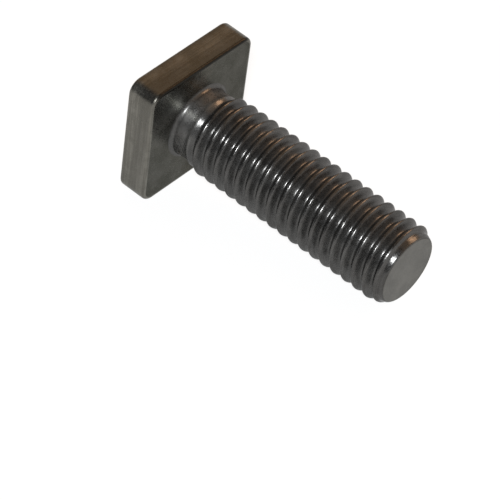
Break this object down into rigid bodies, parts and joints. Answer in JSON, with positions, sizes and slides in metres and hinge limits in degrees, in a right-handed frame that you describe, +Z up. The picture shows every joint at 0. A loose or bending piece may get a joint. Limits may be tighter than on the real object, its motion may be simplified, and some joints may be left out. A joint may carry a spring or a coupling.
{
  "type": "square head bolt",
  "caption": "Stainless steel bolt with a flat square head and a right-hand metric thread along its shank, to clamp parts with a nut or from a slot.",
  "frame": {"origin": "middle of the head's bearing face, on the bolt's axis", "axes": "+X level, along the shank from the head towards the tip, which dips 6.1 degrees below it because the bolt lies on its head and its thread; +Y across the head's flats; +Z up"},
  "size_m": [0.0288, 0.013, 0.0132],
  "materials": {
    "stainless_steel": "plain cold-formed stainless steel, dark and slightly dull, with fine tool marks and small scuffs"
  },
  "bodies": {
    "root": {"square_head_bolt": "stainless_steel"}
  },
  "joints": []
}
